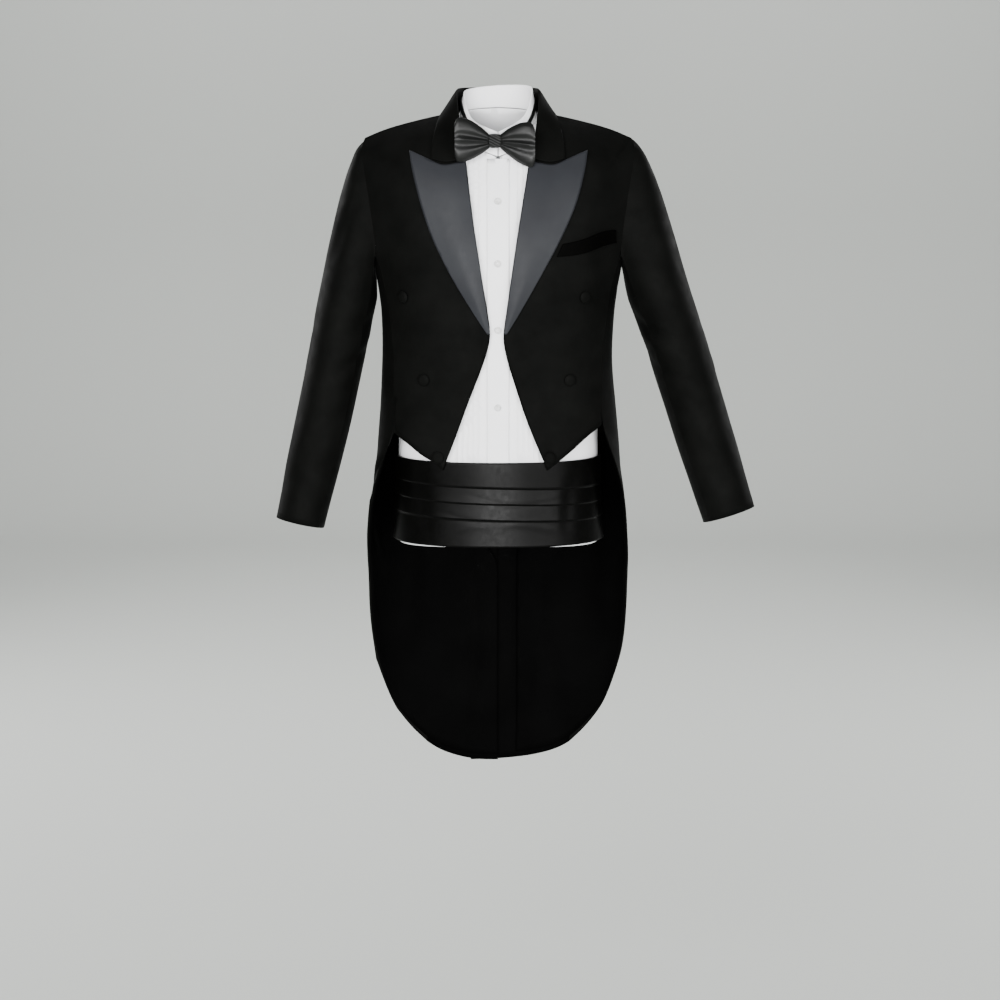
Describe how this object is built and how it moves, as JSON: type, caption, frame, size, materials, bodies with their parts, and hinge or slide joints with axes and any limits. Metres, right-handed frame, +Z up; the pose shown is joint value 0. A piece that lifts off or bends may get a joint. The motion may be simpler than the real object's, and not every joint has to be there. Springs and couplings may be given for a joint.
{
  "type": "tailcoat suit",
  "caption": "Evening tailcoat with satin peaked lapels, worn open and hollow over a white dress shirt, pleated cummerbund and bow tie",
  "frame": {"origin": "middle of the neck's base, level with the neck ends of the shoulder seams, where the wearer's neck and shoulders hold the suit", "axes": "+X to the wearer's left, +Y to the wearer's back, +Z up"},
  "size_m": [0.7787, 0.2691, 1.1485],
  "materials": {
    "wool": "fine black wool blend with a faint sheen",
    "lapel_satin": "dark grey satin",
    "lining": "black lining",
    "cotton": "white cotton poplin",
    "black_satin": "black satin",
    "covered_button": "black covered button",
    "pearl_button": "white pearl-like plastic"
  },
  "bodies": {
    "root": {"bow_band": "black_satin", "bow_knot": "black_satin", "bow_wing_left": "black_satin", "bow_wing_right": "black_satin", "breast_welt": "black_satin", "coat_back_left": "wool", "coat_back_right": "wool", "coat_button_lower_left": "covered_button", "coat_button_lower_right": "covered_button", "coat_button_middle_left": "covered_button", "coat_button_middle_right": "covered_button", "coat_button_upper_left": "covered_button", "coat_button_upper_right": "covered_button", "coat_collar": "wool", "coat_front_left": "wool", "coat_front_right": "wool", "coat_side_body_left": "wool", "coat_side_body_right": "wool", "coat_top_sleeve_left": "wool", "coat_top_sleeve_right": "wool", "coat_under_sleeve_left": "wool", "coat_under_sleeve_right": "wool", "cummerbund_front": "black_satin", "cummerbund_strap": "black_satin", "lapel_left": "lapel_satin", "lapel_right": "lapel_satin", "shirt_back": "cotton", "shirt_button_1": "pearl_button", "shirt_button_2": "pearl_button", "shirt_button_3": "pearl_button", "shirt_button_4": "pearl_button", "shirt_collar": "cotton", "shirt_front_left": "cotton", "shirt_front_right": "cotton", "shirt_placket": "cotton", "shirt_sleeve_left": "cotton", "shirt_sleeve_right": "cotton", "tail_lining_left": "lining", "tail_lining_right": "lining"}
  },
  "joints": []
}
